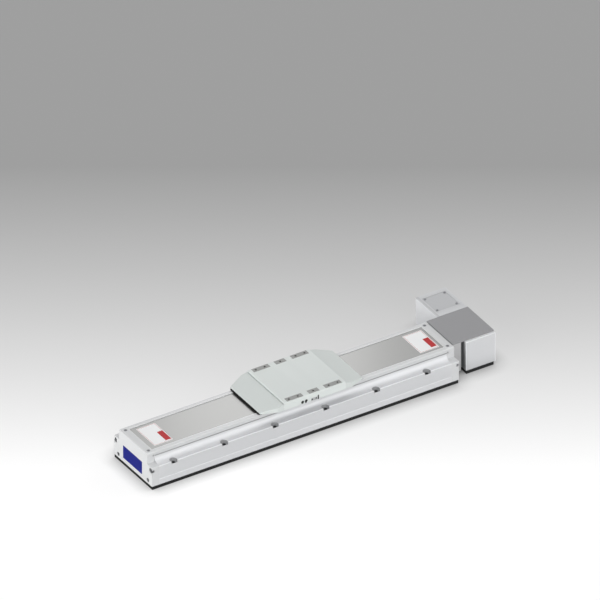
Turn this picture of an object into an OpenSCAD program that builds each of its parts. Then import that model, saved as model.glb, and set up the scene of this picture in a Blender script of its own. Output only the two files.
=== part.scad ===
// Belt driven linear axis: a covered extrusion with a sliding table, drawn by a toothed belt.
// Lengths are in millimetres. The origin is the centre of the underside of the axis body.
// +X points to the drive end, +Z up, and the motor stands out on the +Y side.

/* [Axis body] */
// Overall length of the body, end caps included
body_l = 757; // [640:1:1200]
// Width over the lower section
body_w = 150; // [148:1:170]
// Width over the upper section
shoulder_w = 111; // [109:0.5:114]
// Thickness of the dark plate under the body
foot_h = 8; // [4:0.5:10]
// Height of the lower section above the foot plate
lower_h = 47; // [45:0.5:52]
// Height from the ledge to the seam under the cover rails
upper_h = 15; // [15:0.5:18]
// Height of the cover rails
cover_rail_h = 10; // [10:0.5:13]
// Radius of the cove between the ledge and the upper wall
cove_r = 13; // [6:0.5:14]
// Thickness of each end cap
cap_t = 18; // [16:0.5:26]
// How far the foot plate stands back from the sides and ends
foot_inset = 1; // [0.5:0.25:1.5]

/* [Channel] */
// Width of the channel inside the body
channel_w = 95; // [94:0.5:96]
// Thickness of the floor under the guide rails
floor_t = 16; // [14:0.5:17]
// Width of the trough that the lower belt run lies in
trough_w = 40; // [36:0.5:41]
// Depth of the trough below the rail seats
trough_d = 8; // [6:0.5:8.5]
// Width of the hollow chamber in each flank
chamber_w = 11; // [6:0.5:12]
// Height of the hollow chamber in each flank
chamber_h = 22; // [12:0.5:23]

/* [Guide rails] */
// Distance between the two rail centres
rail_gauge = 58; // [57:0.5:59]
// Width of a rail
rail_w = 15; // [14:0.5:15]
// Height of a rail
rail_h = 15; // [13:0.5:15]
// Distance between rail screws
rail_pitch = 60; // [50:1:80]
// Width of a guide block
block_w = 34; // [32:0.5:34]
// Length of a guide block without its end caps
block_l = 42; // [34:0.5:46]
// Thickness of a guide block's end cap
block_cap_t = 9; // [6:0.5:10]
// Height from the rail seat to the top of a guide block
block_h = 28; // [27:0.5:28]
// Distance between the two blocks on one rail
block_span = 104; // [86:1:110]

/* [Belt drive] */
// Pitch of the belt teeth
belt_pitch = 5; // [4:1:6]
// Number of teeth on each pulley
pulley_teeth = 24; // [22:1:25]
// Width of the belt
belt_w = 25; // [18:0.5:26]
// Belt back above the pitch line
belt_back = 1.2; // [0.8:0.1:1.5]
// Tooth lands below the pitch line
belt_land = 0.57; // [0.4:0.01:0.8]
// Height of a belt tooth
tooth_h = 2.1; // [1.6:0.1:2.2]
// Height of the pulley axes above the top of the foot plate
drive_rise = 32; // [31.5:0.1:32.5]
// Distance of the drive axis beyond the end of the body
drive_reach = 66; // [64:0.5:68]
// Distance of the idler axis from the inner face of its end cap, at least
idler_reach = 27; // [26:0.5:34]
// Diameter of the drive shaft
shaft_d = 12; // [10:0.5:12]
// Diameter of the idler axle
axle_d = 10; // [8:0.5:10]
// Outer diameter of the shaft bearings
shaft_bearing_d = 28; // [26:0.5:29]
// Outer diameter of the idler bearings
axle_bearing_d = 22; // [20:0.5:22]
// Width of a bearing
bearing_w = 8; // [6:0.5:8]

/* [Slider] */
// Place of the slider along the body at rest
slider_x = 25; // [-60:1:80]
// Length of the flat table
table_l = 152; // [148:1:170]
// Width of the table
table_w = 144.6; // [142:0.1:146]
// Length over both end covers
slider_l = 253; // [244:1:280]
// Height of the table's sides
table_h = 19.1; // [18.5:0.1:22]
// Gap between the table's sides and the cover rails
slider_gap = 2.4; // [1.8:0.1:3]
// Wall of the moulded covers
cover_t = 2.5; // [2:0.1:3]
// Width of an end cover at its tip
tip_w = 117; // [112:0.5:124]
// Height of an end cover at its tip
tip_h = 4.2; // [4:0.1:5]
// Height of an end cover where it meets the table
root_h = 15.4; // [14:0.1:16.5]
// Length of the slanted part at each end of an end cover's plan
tip_taper = 35; // [20:1:36]

/* [Table pads] */
// Width of the bare pads along the table's edges
pad_w = 12.5; // [11:0.1:14]
// Gap between a pad and the table's edge
pad_edge = 1.2; // [0.8:0.1:1.6]
// Length of the end pads
pad_l = 40; // [38:0.5:42]
// Centre of the end pads from the table's middle
pad_x = 47.5; // [46:0.5:50]
// Length of the middle pads
mid_pad_l = 25; // [16:0.5:30]
// Distance between the two rows of table holes
table_hole_row = 130; // [129:0.5:131]
// Distance between the outer table holes along the table
table_hole_outer = 120; // [116:1:124]
// Distance between the inner table holes along the table
table_hole_inner = 76; // [72:1:80]
// Diameter of the table holes
table_hole_d = 5; // [4:0.5:6]
// Depth of the table holes
table_hole_depth = 10; // [6:0.5:11]

/* [Steel strip] */
// Width of the strip
strip_w = 90; // [88:0.5:92]
// Thickness of the strip
strip_t = 0.5; // [0.3:0.1:0.6]
// Depth of the strip below the top of the cover rails
strip_drop = 1.7; // [1.5:0.1:2]
// Height that the strip is lifted by inside the slider
strip_lift = 9.2; // [9:0.1:9.6]
// Radius of the rollers that guide the strip
roller_r = 3.5; // [3.4:0.1:3.8]
// Diameter of the roller axles
roller_axle_d = 2; // [1.6:0.1:2.2]

/* [Body holes] */
// Number of mounting holes along each side
hole_count = 6; // [2:1:9]
// First mounting hole from the idler end
hole_first = 55; // [30:1:70]
// Distance between mounting holes
hole_pitch = 125; // [100:1:130]
// Mounting hole axis in from the side face
hole_inset = 4.5; // [4:0.1:6]
// Diameter of a mounting hole
hole_d = 5.5; // [4.5:0.1:6]
// Diameter of the pocket round a mounting hole
pocket_d = 17; // [14:0.5:18]
// Depth of the pocket below the ledge
pocket_depth = 6; // [4:0.5:10]

/* [End caps] */
// Upper cap screw axis in from the side face
cap_screw_inset = 5.5; // [5:0.1:6]
// Diameter of the pocket for an upper cap screw
cap_pocket_d = 12.4; // [10:0.1:13]
// Depth of the pocket for an upper cap screw
cap_pocket_depth = 6; // [5.5:0.5:8]
// Height of the upper cap screws above the top of the foot plate
cap_screw_rise = 38; // [36:0.5:40]
// Height of the lower cap screws above the top of the foot plate
cap_low_screw_rise = 8.5; // [7:0.5:11]
// Distance between the lower cap screws
cap_low_gauge = 116; // [112:1:120]
// Distance between the two screws on top of a cap
strip_screw_gauge = 90; // [88:1:94]

/* [Drive unit] */
// Length of the bracket between the body and the drive housing
bracket_l = 22; // [18:0.5:26]
// Width of the bracket
bracket_w = 95.4; // [90:0.1:98]
// Length of the waist between the bracket and the housing
waist_l = 8; // [6:0.5:12]
// Width of the waist
waist_w = 76; // [66:0.5:80]
// Length of the drive housing along the axis
housing_l = 69; // [68:0.5:74]
// Width of the drive housing, its side cover included
housing_w = 110; // [106:0.5:114]
// Thickness of the side cover
side_t = 7; // [5:0.5:9]
// Top of the side cover below the top of the lid
side_drop = 2.7; // [1:0.1:4]
// Thickness of the end plate
end_plate_t = 4; // [3:0.5:6]
// Top of the drive unit above the top of the body
lid_rise = 2; // [1:0.5:4]
// Thickness of the lid
lid_t = 3; // [2:0.5:4]
// Underside of the drive unit above the top of the foot plate
drive_foot_rise = 1; // [0:0.5:2]

/* [Motor] */
// Width and height of the motor
motor_w = 60; // [57:0.5:60]
// Length of the motor cover
motor_cover_l = 88; // [86:0.5:100]
// Wall of the motor cover
motor_cover_t = 3; // [2:0.5:4]
// Length of the motor body
motor_l = 50; // [40:0.5:52]
// Diameter of the motor shaft
motor_shaft_d = 14; // [11:0.5:14]
// Side of the square access lid
access_w = 57; // [50:0.5:60]

/* [Hidden] */
$fn = 48;
// Running gap between a shaft and its bore, on the radius
run_gap = 0.05;
// Gap kept between parts that only pass each other
pass_gap = 0.3;
// Small lap that lets a cut run past a face
lap = 1;

// Heights of the section
ledge_z = foot_h + lower_h;
seam_z = ledge_z + upper_h;
body_top = seam_z + cover_rail_h;
rail_seat_z = foot_h + floor_t;
trough_z = rail_seat_z - trough_d;
block_top_z = rail_seat_z + block_h;
strip_top = body_top - strip_drop;
strip_seat_z = strip_top - strip_t;
lip_t = 3;
lip_half = strip_w / 2 - 3;
groove_z = foot_h + 14;
drive_z = foot_h + drive_rise;
drive_foot_h = foot_h + drive_foot_rise;
cap_screw_z = foot_h + cap_screw_rise;
cap_low_screw_z = foot_h + cap_low_screw_rise;
clamp_t = 3;
strip_tab = 76;
strip_tuck = cap_t - 6;
strip_screw_z = strip_seat_z + 0.7;
tension_y = 8;

// Places along the body
near_x = -body_l / 2;
far_x = body_l / 2;
near_in = near_x + cap_t;
far_in = far_x - cap_t;
strip_screw_x = near_x + cap_t / 2 + 0.5;
hole_y = body_w / 2 - hole_inset;
cap_screw_y = body_w / 2 - cap_screw_inset;

// Belt geometry: the pitch line is a stadium round both pulleys
pitch_r = pulley_teeth * belt_pitch / (2 * PI);
drive_x = far_x + drive_reach;
belt_teeth = floor(2 * (drive_x - near_in - idler_reach) / belt_pitch) + pulley_teeth;
run_l = (belt_teeth - pulley_teeth) * belt_pitch / 2;
idler_x = drive_x - run_l;
arc_l = pulley_teeth * belt_pitch / 2;
tooth_angle = 360 / pulley_teeth;
idler_phase = (belt_teeth - pulley_teeth) % 2 * tooth_angle / 2;
land_r = pitch_r - belt_land;
tip_r = land_r - tooth_h;
mesh_gap = 0.12;
flange_t = 1.5;
pulley_w = belt_w + 2 * flange_t;
pulley_bore_clear = 0.6;

// Slider heights and lengths
slider_z = body_top + slider_gap;
table_top = slider_z + table_h;
skin_z = table_top - cover_t;
neck_half = lip_half - 1.5;
belt_slot_half = belt_w / 2 + 1.5;
jaw_half = trough_w / 2 - 1;
jaw_l = 26;
belt_top = drive_z + pitch_r + belt_back;
belt_land_z = drive_z + land_r;
saddle_l = block_span + block_l + 2;
saddle_foot_t = belt_top + 1.5 - block_top_z;
flange_z = body_top + 1;
strip_high = strip_top + strip_lift;
strip_bed_z = strip_high - strip_t - 1;
table_seat_z = strip_high + 1.5;
roof_z = table_seat_z + 3;
arm_in = strip_w / 2 + 1.5;
arm_out = arm_in + 4;
table_body_l = table_l - 2 * cover_t - 1;
table_body_w = table_w - 1.6;
table_in_half = table_body_w / 2 - cover_t + 0.4;
flange_half = table_in_half - 4.4;
end_groove = 1.6;
root_x = table_l / 2;
tip_x = slider_l / 2;
hold_x = tip_x - 13;
lift_x = table_l / 2 + 12;
hold_z = strip_top + roller_r + 0.1;
lift_z = strip_high - strip_t - roller_r - 0.1;
hold_l = strip_w - 6;

// Travel of the slider, which stops short of the ends of the strip
near_clear = 80;
far_clear = 74;
travel_min = near_x + near_clear + tip_x - slider_x;
travel_max = far_x - far_clear - tip_x - slider_x;
stop_gap = 0.5;
block_reach = block_span / 2 + block_l / 2 + block_cap_t;
near_stop_x = slider_x + travel_min - block_reach - stop_gap;
far_stop_x = slider_x + travel_max + block_reach + stop_gap;
bumper_t = 6;
stop_l = 14;
stop_w = 9;
stop_y = rail_gauge / 2 + rail_w / 2 + 1 + stop_w / 2;

// Drive unit places
lid_top = body_top + lid_rise;
lid_z = lid_top - lid_t;
bracket_x = far_x + bracket_l;
housing_x = bracket_x + waist_l;
housing_end = housing_x + housing_l;
unit_end = housing_end + end_plate_t;
lid_over = 2;
housing_half = housing_w / 2 - lid_over;
housing_near = housing_w / 2 - side_t;
pocket_half = pulley_w / 2 + 2;
bearing_y = pocket_half + 1 + bearing_w;
adapter_y = housing_half;
adapter_l = 22;
motor_y = adapter_y + adapter_l;
coupling_r = 15;
coupling_y = bearing_y + 2;
hub_l = 14;
spider_l = 7;
coupling_end = coupling_y + 2 * hub_l + spider_l;
motor_flange_t = 7;
motor_grip = 24.75;
encoder_l = 9;
motor_cover_y = housing_half + motor_cover_l;
access_y = housing_half + 0.545 * motor_cover_l;
side_z = drive_foot_h - 0.5;

// Screws
m5_head_r = 4.25;
m5_head_h = 5;
m5_r = 2.5;
m4_head_r = 3.5;
m4_head_h = 4;
m4_r = 2;
m3_head_r = 2.75;
m3_head_h = 3;
m3_r = 1.5;

// ---------- helpers ----------

// A profile drawn in Y and Z, drawn out along X from x0 to x1
module along_x(x0, x1) {
    translate([x0, 0, 0])
        rotate([90, 0, 90])
            linear_extrude(height = x1 - x0)
                children();
}

// A profile drawn in X and Z, drawn out along Y from y0 to y1
module along_y(y0, y1) {
    translate([0, y1, 0])
        rotate([90, 0, 0])
            linear_extrude(height = y1 - y0)
                children();
}

// A block given by its lowest and highest corners
module block(low, high) {
    translate(low)
        cube(high - low);
}

// The child and its mirror image across the middle plane
module both_sides() {
    children();
    mirror([0, 1, 0])
        children();
}

// Round bars along each axis, from a to b
module bar_x(x0, x1, y, z, r) {
    translate([x0, y, z])
        rotate([0, 90, 0])
            cylinder(h = x1 - x0, r = r);
}

module bar_y(y0, y1, x, z, r) {
    translate([x, y1, z])
        rotate([90, 0, 0])
            cylinder(h = y1 - y0, r = r);
}

module bar_z(z0, z1, x, y, r) {
    translate([x, y, z0])
        cylinder(h = z1 - z0, r = r);
}

// A socket head screw that stands along +Z, its head's seat at the origin
module cap_screw(head_r, head_h, r, length) {
    difference() {
        union() {
            cylinder(h = head_h, r = head_r);
            translate([0, 0, -length])
                cylinder(h = length + 0.1, r = r);
        }
        translate([0, 0, head_h * 0.45])
            cylinder(h = head_h, r = head_r * 0.52, $fn = 6);
    }
}

// Centres of the mounting holes along the body
function hole_xs() = [for (i = [0 : hole_count - 1]) near_x + hole_first + i * hole_pitch];

// Rail screw places, centred between the rail's ends
rail_l = far_in - near_in - 24;
rail_screw_count = floor((rail_l - 20) / rail_pitch) + 1;
function rail_xs() = [
    for (i = [0 : rail_screw_count - 1]) (i - (rail_screw_count - 1) / 2) * rail_pitch
];

// Places on the slider, measured from its own middle
module on_slider() {
    translate([slider_x, 0, 0])
        children();
}

// The child at the slider's front end and turned round to its rear end
module at_front() {
    on_slider()
        children();
}

module at_rear() {
    on_slider()
        rotate([0, 0, 180])
            children();
}

// ---------- axis body ----------

module body_profile() {
    half = body_w / 2;
    up = shoulder_w / 2;
    arc = [
        for (a = [0 : 10 : 90])
            [up + cove_r - cove_r * sin(a), ledge_z + cove_r - cove_r * cos(a)]
    ];
    outer = concat(
        [[half - 0.8, foot_h], [half, foot_h + 0.8], [half, groove_z]],
        [[half - 0.8, groove_z + 0.7], [half, groove_z + 1.4]],
        [[half, ledge_z - 0.4], [half - 0.4, ledge_z]],
        arc,
        [[up, seam_z]]
    );
    inner = [
        [channel_w / 2, seam_z], [channel_w / 2, rail_seat_z],
        [trough_w / 2, rail_seat_z], [trough_w / 2, trough_z]
    ];
    side = concat(outer, inner);
    other = [for (i = [len(side) - 1 : -1 : 0]) [-side[i][0], side[i][1]]];
    polygon(concat(side, other));
}

module chamber_profile() {
    y0 = channel_w / 2 + 5;
    z0 = cap_low_screw_z + 5.5;
    polygon([
        [y0 + 1, z0], [y0 + chamber_w - 1, z0], [y0 + chamber_w, z0 + 1],
        [y0 + chamber_w, z0 + chamber_h - 4], [y0 + chamber_w - 4, z0 + chamber_h],
        [y0 + 1, z0 + chamber_h], [y0, z0 + chamber_h - 1], [y0, z0 + 1]
    ]);
}

module base_extrusion() {
    color([0.84, 0.84, 0.85])
    difference() {
        along_x(near_in, far_in)
            body_profile();
        both_sides()
            along_x(near_in - lap, far_in + lap)
                chamber_profile();
        for (x = hole_xs())
            both_sides() {
                bar_z(foot_h - lap, ledge_z, x, hole_y, hole_d / 2);
                bar_z(ledge_z - pocket_depth, body_top, x, hole_y, pocket_d / 2);
            }
        for (x = rail_xs())
            both_sides()
                bar_z(rail_seat_z - 9, rail_seat_z + lap, x, rail_gauge / 2, m4_r);
        cap_screw_holes(near_in - lap, near_in + 16);
        cap_screw_holes(far_in - 16, far_in + lap);
    }
}

// Screw bores in the ends of the body, or through a cap
module cap_screw_holes(x0, x1) {
    both_sides() {
        bar_x(x0, x1, cap_screw_y, cap_screw_z, m5_r);
        bar_x(x0, x1, cap_low_gauge / 2, cap_low_screw_z, m5_r);
    }
}

module base_plate() {
    color([0.05, 0.05, 0.055])
    difference() {
        block([near_x + foot_inset, -body_w / 2 + foot_inset, 0],
              [far_x - foot_inset, body_w / 2 - foot_inset, foot_h]);
        for (x = hole_xs())
            both_sides()
                bar_z(-lap, foot_h + lap, x, hole_y, hole_d / 2);
    }
}

// Section of one cover rail, on the +Y side
module cover_rail_profile() {
    up = shoulder_w / 2;
    polygon([
        [channel_w / 2, seam_z], [up - 1, seam_z], [up - 1, seam_z + 1], [up, seam_z + 1],
        [up, body_top - 1.4], [up - 1.4, body_top],
        [strip_w / 2 + 0.4, body_top], [strip_w / 2 + 0.4, strip_seat_z],
        [lip_half, strip_seat_z], [lip_half, strip_seat_z - lip_t]
    ]);
}

module cover_rail_right() {
    color([0.82, 0.82, 0.83])
    along_x(near_in, far_in)
        cover_rail_profile();
}

module cover_rail_left() {
    color([0.82, 0.82, 0.83])
    mirror([0, 1, 0])
        along_x(near_in, far_in)
            cover_rail_profile();
}

module cap_profile() {
    half = body_w / 2;
    up = shoulder_w / 2;
    side = [
        [half - 0.8, foot_h], [half, foot_h + 0.8], [half, ledge_z - 0.8], [half - 0.8, ledge_z],
        [up + 0.6, ledge_z], [up, ledge_z + 0.6], [up, body_top - 1.4], [up - 1.4, body_top]
    ];
    other = [for (i = [len(side) - 1 : -1 : 0]) [-side[i][0], side[i][1]]];
    polygon(concat(side, other));
}

// Everything cut from a cap, drawn for the cap at the idler end
module cap_cuts() {
    cap_screw_holes(near_x - lap, near_in + lap);
    both_sides() {
        bar_x(near_x - lap, near_x + cap_pocket_depth, cap_screw_y, cap_screw_z, cap_pocket_d / 2);
        bar_x(near_x - lap, near_x + cap_pocket_depth, cap_low_gauge / 2, cap_low_screw_z,
              m5_head_r + 0.4);
        bar_z(strip_screw_z, body_top + lap, strip_screw_x, strip_screw_gauge / 2, m4_head_r + 0.4);
        bar_z(strip_seat_z - 5, body_top, strip_screw_x, strip_screw_gauge / 2, m4_r);
        // Sunk hole in the side of the shoulder
        bar_y(shoulder_w / 2 - 2, shoulder_w / 2 + lap, near_x + 0.85 * cap_t, seam_z + 1, 2.4);
    }
    // Slot that takes the end of the strip and the bar that clamps it
    block([near_x + 4, -strip_screw_gauge / 2 - 5, strip_seat_z - clamp_t],
          [near_in + lap, strip_screw_gauge / 2 + 5, strip_seat_z]);
    block([near_x + 4, -strip_tab / 2 - 1, strip_seat_z - lap],
          [near_in + lap, strip_tab / 2 + 1, strip_top + 0.1]);
}

module near_end_cap() {
    color([0.92, 0.92, 0.93])
    difference() {
        along_x(near_x, near_in)
            cap_profile();
        cap_cuts();
        both_sides() {
            bar_x(near_x - lap, near_in + lap, tension_y, drive_z, m5_r);
            bar_x(near_x - lap, near_x + cap_pocket_depth, tension_y, drive_z, m5_head_r + 0.4);
        }
    }
}

module far_end_cap() {
    color([0.92, 0.92, 0.93])
    difference() {
        along_x(far_in, far_x)
            cap_profile();
        mirror([1, 0, 0])
            cap_cuts();
        // Window that both belt runs pass through
        block([far_in - lap, -trough_w / 2, trough_z],
              [far_x + lap, trough_w / 2, belt_top + 4]);
    }
}

// The four face screws and two top screws of the cap at the idler end
module cap_screw_set() {
    both_sides() {
        translate([near_x + cap_pocket_depth, cap_screw_y, cap_screw_z])
            rotate([0, -90, 0])
                cap_screw(m5_head_r, m5_head_h, m5_r, cap_t - cap_pocket_depth + 14);
        translate([near_x + cap_pocket_depth, cap_low_gauge / 2, cap_low_screw_z])
            rotate([0, -90, 0])
                cap_screw(m5_head_r, m5_head_h, m5_r, cap_t - cap_pocket_depth + 14);
        translate([strip_screw_x, strip_screw_gauge / 2, strip_screw_z])
            cap_screw(m4_head_r, body_top - strip_screw_z - 0.1, m4_r, clamp_t + 0.6);
    }
}

module near_cap_screws() {
    color([0.45, 0.45, 0.46])
    cap_screw_set();
}

module far_cap_screws() {
    color([0.45, 0.45, 0.46])
    mirror([1, 0, 0])
        cap_screw_set();
}

// ---------- guide rails ----------

module rail_profile() {
    h = rail_w / 2;
    waist = h - 2.2;
    top = rail_seat_z + rail_h;
    side = [
        [h - 0.4, rail_seat_z], [h, rail_seat_z + 0.4], [h, rail_seat_z + rail_h * 0.35],
        [waist, rail_seat_z + rail_h * 0.52], [waist, rail_seat_z + rail_h * 0.66],
        [h, rail_seat_z + rail_h * 0.8], [h, top - 1], [h - 1, top]
    ];
    other = [for (i = [len(side) - 1 : -1 : 0]) [-side[i][0], side[i][1]]];
    polygon(concat(side, other));
}

module guide_rail(side) {
    color([0.70, 0.71, 0.73])
    translate([0, side * rail_gauge / 2, 0])
        difference() {
            along_x(-rail_l / 2, rail_l / 2)
                rail_profile();
            for (x = rail_xs()) {
                bar_z(rail_seat_z - lap, rail_seat_z + rail_h + lap, x, 0, m4_r + 0.25);
                bar_z(rail_seat_z + rail_h - 6, rail_seat_z + rail_h + lap, x, 0, m4_head_r + 0.25);
            }
        }
}

module guide_rail_left() {
    guide_rail(-1);
}

module guide_rail_right() {
    guide_rail(1);
}

module rail_screws() {
    color([0.25, 0.25, 0.26])
    for (x = rail_xs())
        both_sides()
            translate([x, rail_gauge / 2, rail_seat_z + rail_h - 6])
                cap_screw(m4_head_r, m4_head_h, m4_r, rail_h - 6 + 8);
}

module stop_blocks() {
    color([0.55, 0.56, 0.58])
    both_sides() {
        block([near_stop_x - bumper_t - stop_l, stop_y - stop_w / 2, rail_seat_z],
              [near_stop_x - bumper_t, stop_y + stop_w / 2, rail_seat_z + rail_h + 7]);
        block([far_stop_x + bumper_t, stop_y - stop_w / 2, rail_seat_z],
              [far_stop_x + bumper_t + stop_l, stop_y + stop_w / 2, rail_seat_z + rail_h + 7]);
    }
}

module stop_bumpers() {
    color([0.85, 0.55, 0.15])
    both_sides() {
        bar_x(near_stop_x - bumper_t, near_stop_x, stop_y, rail_seat_z + 15, 4);
        bar_x(far_stop_x, far_stop_x + bumper_t, stop_y, rail_seat_z + 15, 4);
    }
}

// ---------- belt and pulleys ----------

// Point of the belt loop at arc length s and at height h outside the pitch line.
// It starts over the drive axis, runs to the idler, round it and back underneath.
function belt_point(s, h) =
    s < run_l ? [drive_x - s, drive_z + pitch_r + h] :
    s < run_l + arc_l ? arc_point(idler_x, 90 + (s - run_l) / arc_l * 180, h) :
    s < 2 * run_l + arc_l ? [idler_x + s - run_l - arc_l, drive_z - pitch_r - h] :
    arc_point(drive_x, 270 + (s - 2 * run_l - arc_l) / arc_l * 180, h);

function arc_point(x, a, h) = [x + (pitch_r + h) * cos(a), drive_z + (pitch_r + h) * sin(a)];

tooth_root = belt_pitch * 0.31;
tooth_tip = belt_pitch * 0.2;

// Four points of belt tooth number i
function belt_tooth(i) = [
    belt_point(i * belt_pitch + belt_pitch / 2 - tooth_root, -belt_land),
    belt_point(i * belt_pitch + belt_pitch / 2 - tooth_tip, -belt_land - tooth_h),
    belt_point(i * belt_pitch + belt_pitch / 2 + tooth_tip, -belt_land - tooth_h),
    belt_point(i * belt_pitch + belt_pitch / 2 + tooth_root, -belt_land)
];

module belt_outline() {
    step = 10;
    idler_arc = [for (a = [90 : step : 270]) arc_point(idler_x, a, belt_back)];
    drive_arc = [for (a = [270 : step : 450]) arc_point(drive_x, a, belt_back)];
    polygon(concat(idler_arc, drive_arc));
}

module belt_toothed_outline() {
    polygon([for (i = [0 : belt_teeth - 1]) each belt_tooth(i)]);
}

module toothed_belt() {
    color([0.12, 0.12, 0.12])
    difference() {
        along_y(-belt_w / 2, belt_w / 2)
            belt_outline();
        along_y(-belt_w / 2 - lap, belt_w / 2 + lap)
            belt_toothed_outline();
    }
}

// Toothed pulley about the Y axis at x, with its first groove turned by phase
module pulley(x, phase, bore_r) {
    root = tip_r - mesh_gap - 0.1;
    top = land_r - mesh_gap;
    half_root = tooth_tip / tip_r * 180 / PI + 1.3;
    half_top = tooth_root / land_r * 180 / PI + 1.6;
    outline = [
        for (i = [0 : pulley_teeth - 1])
            let (a = 90 + phase + (i + 0.5) * tooth_angle)
            each [
                top * [cos(a - half_top), sin(a - half_top)],
                root * [cos(a - half_root), sin(a - half_root)],
                root * [cos(a + half_root), sin(a + half_root)],
                top * [cos(a + half_top), sin(a + half_top)]
            ]
    ];
    translate([x, 0, drive_z])
        difference() {
            union() {
                along_y(-belt_w / 2 - 0.3, belt_w / 2 + 0.3)
                    polygon(outline);
                both_sides()
                    bar_y(belt_w / 2 + 0.3, pulley_w / 2, 0, 0, pitch_r + belt_back + 0.4);
            }
            bar_y(-pulley_w, pulley_w, 0, 0, bore_r);
        }
}

module drive_pulley() {
    color([0.72, 0.73, 0.75])
    pulley(drive_x, 0, shaft_d / 2);
}

module idler_pulley() {
    color([0.72, 0.73, 0.75])
    pulley(idler_x, idler_phase, axle_bearing_d / 2);
}

module idler_bearings() {
    color([0.60, 0.61, 0.63])
    both_sides()
        translate([idler_x, 0, drive_z])
            difference() {
                bar_y(pulley_w / 2 - bearing_w, pulley_w / 2 + 0.2, 0, 0, axle_bearing_d / 2);
                bar_y(0, pulley_w, 0, 0, axle_d / 2 + run_gap);
            }
}

cheek_in = pulley_w / 2 + 0.5;
cheek_out = trough_w / 2 - 0.3;
bracket_web = near_in + 1;
web_t = 4.5;

module idler_bracket() {
    color([0.66, 0.67, 0.69])
    difference() {
        union() {
            both_sides()
                block([bracket_web, cheek_in, trough_z],
                      [idler_x + 12, cheek_out, drive_z + 12]);
            block([bracket_web, -cheek_out, trough_z],
                  [bracket_web + web_t, cheek_out, drive_z + 12]);
        }
        bar_y(-trough_w, trough_w, idler_x, drive_z, axle_d / 2);
        both_sides()
            bar_x(bracket_web - lap, bracket_web + web_t + lap, tension_y, drive_z, m5_r);
    }
}

module idler_axle() {
    color([0.55, 0.56, 0.58])
    bar_y(-cheek_out, cheek_out, idler_x, drive_z, axle_d / 2);
}

module tension_screws() {
    color([0.35, 0.35, 0.36])
    both_sides()
        translate([near_x + cap_pocket_depth, tension_y, drive_z])
            rotate([0, -90, 0])
                cap_screw(m5_head_r, m5_head_h, m5_r,
                          bracket_web + web_t - near_x - cap_pocket_depth);
}

// ---------- steel strip ----------

// Bars that pull the ends of the strip up against the caps
module strip_clamp() {
    difference() {
        block([near_x + 4.3, -strip_screw_gauge / 2 - 4.7, strip_seat_z - clamp_t],
              [near_in - 0.3, strip_screw_gauge / 2 + 4.7, strip_seat_z - 0.1]);
        both_sides()
            bar_z(strip_seat_z - 5, body_top, strip_screw_x, strip_screw_gauge / 2, m4_r);
    }
}

module strip_clamps() {
    color([0.50, 0.51, 0.53])
    {
        strip_clamp();
        mirror([1, 0, 0])
            strip_clamp();
    }
}

// Height of the strip's top face, from the end to the middle of the slider
module strip_profile() {
    hump = [
        [slider_x - hold_x + 2, strip_top], [slider_x - lift_x - 2, strip_high],
        [slider_x + lift_x + 2, strip_high], [slider_x + hold_x - 2, strip_top]
    ];
    low = [for (i = [len(hump) - 1 : -1 : 0]) [hump[i][0], hump[i][1] - strip_t]];
    polygon(concat(
        [[near_in, strip_top]], hump, [[far_in, strip_top], [far_in, strip_seat_z]],
        low, [[near_in, strip_seat_z]]
    ));
}

module steel_strip() {
    color([0.72, 0.71, 0.70])
    union() {
        along_y(-strip_w / 2, strip_w / 2)
            strip_profile();
        block([near_in - strip_tuck, -strip_tab / 2, strip_seat_z],
              [near_in, strip_tab / 2, strip_top]);
        block([far_in, -strip_tab / 2, strip_seat_z],
              [far_in + strip_tuck, strip_tab / 2, strip_top]);
    }
}

// ---------- drive unit ----------

module drive_bracket() {
    color([0.66, 0.66, 0.67])
    difference() {
        block([far_x, -bracket_w / 2, foot_h], [bracket_x, bracket_w / 2, lid_z]);
        belt_way(far_x - lap, bracket_x + lap);
    }
}

// Way for both belt runs through a wall
module belt_way(x0, x1) {
    block([x0, -pocket_half, drive_z - pitch_r - 5], [x1, pocket_half, belt_top + 3.5]);
}

module drive_housing() {
    color([0.30, 0.30, 0.31])
    difference() {
        union() {
            block([bracket_x, -waist_w / 2, drive_foot_h], [housing_x + lap, waist_w / 2, lid_z]);
            block([housing_x, -housing_near, drive_foot_h], [housing_end, housing_half, lid_z]);
        }
        belt_way(bracket_x - lap, drive_x);
        bar_y(-pocket_half, pocket_half, drive_x, drive_z, pitch_r + 6);
        bar_y(-bearing_y, bearing_y, drive_x, drive_z, shaft_bearing_d / 2);
        bar_y(bearing_y - lap, housing_half + lap, drive_x, drive_z, coupling_r + 2);
        bar_y(-bearing_y - 4, 0, drive_x, drive_z, shaft_d / 2 + 1);
        for (x = [drive_x - motor_grip, drive_x + motor_grip])
            bar_y(housing_half - 12, housing_half + lap, x, drive_z + motor_grip, m4_r);
        for (x = [drive_x - motor_grip, drive_x + motor_grip])
            bar_y(housing_half - 12, housing_half + lap, x, drive_z - motor_grip, m4_r);
    }
}

module drive_bearings() {
    color([0.60, 0.61, 0.63])
    both_sides()
        translate([drive_x, 0, drive_z])
            difference() {
                bar_y(bearing_y - bearing_w, bearing_y, 0, 0, shaft_bearing_d / 2);
                bar_y(0, housing_w, 0, 0, shaft_d / 2 + run_gap);
            }
}

module drive_lid() {
    color([0.56, 0.56, 0.57])
    along_x(far_x + 2, unit_end)
        polygon([
            [-housing_near, lid_z], [housing_w / 2, lid_z], [housing_w / 2, lid_top - 0.6],
            [housing_w / 2 - 0.6, lid_top], [-housing_near + 0.6, lid_top],
            [-housing_near, lid_top - 0.6]
        ]);
}

// Chamfered plate in X and Z, used for the side cover
module side_profile(x0, x1, z0, z1, c) {
    polygon([
        [x0, z0], [x1, z0], [x1, z1 - c], [x1 - c, z1], [x0 + c, z1], [x0, z1 - c]
    ]);
}

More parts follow.
